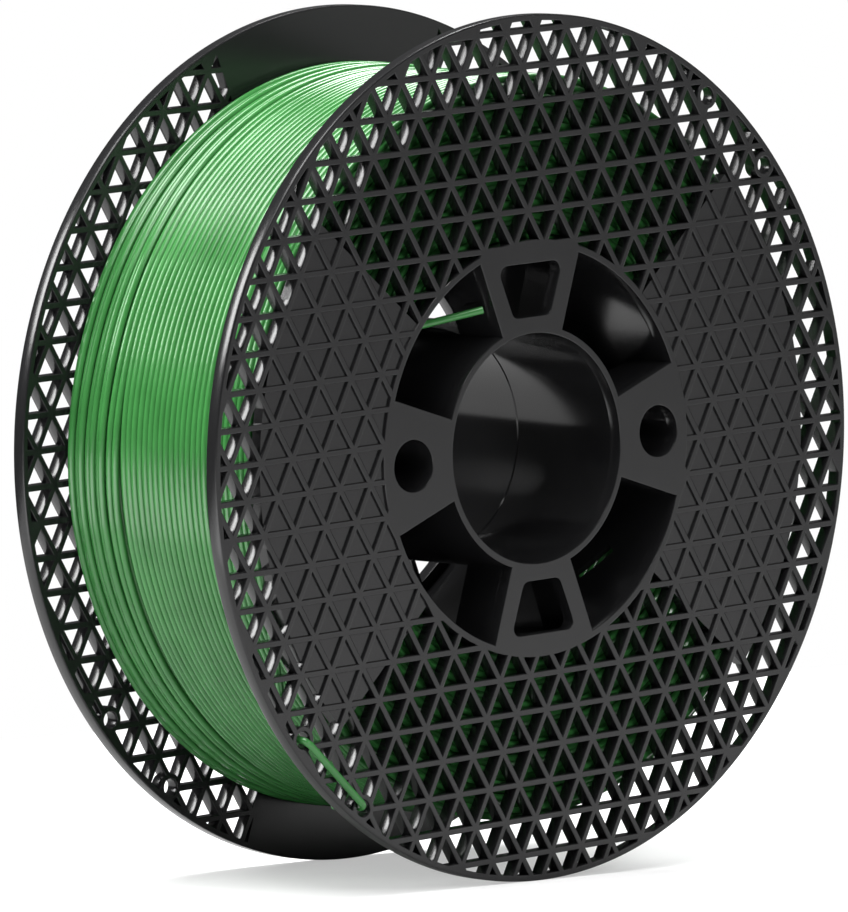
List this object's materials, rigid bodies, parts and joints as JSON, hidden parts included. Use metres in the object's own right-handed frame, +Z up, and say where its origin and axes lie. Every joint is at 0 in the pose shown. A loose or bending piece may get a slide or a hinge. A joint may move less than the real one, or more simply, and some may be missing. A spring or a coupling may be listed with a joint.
{
  "type": "filament spool",
  "caption": "Round plastic spool with open triangular lattice flanges and a hollow spoked hub, wound with thin green filament whose free end is hooked through one flange.",
  "frame": {"origin": "on the spool axis at mid-width, the middle of the bore", "axes": "-Y out of the front flange along the bore, +Z up, +X to the right seen from the front"},
  "size_m": [0.2, 0.0706, 0.2],
  "materials": {
    "black_plastic": "semi-gloss moulded plastic",
    "green_filament": "satin extruded filament"
  },
  "bodies": {
    "root": {"front_flange": "black_plastic", "front_drum": "black_plastic", "front_bore_tube": "black_plastic", "front_socket_spokes": "black_plastic", "front_open_spokes": "black_plastic", "back_flange": "black_plastic", "back_drum": "black_plastic", "back_bore_tube": "black_plastic", "back_socket_spokes": "black_plastic", "back_open_spokes": "black_plastic", "filament_winding": "green_filament", "filament_top_layer": "green_filament", "filament_crossing_turns": "green_filament", "filament_tail": "green_filament", "filament_start": "green_filament"}
  },
  "joints": []
}
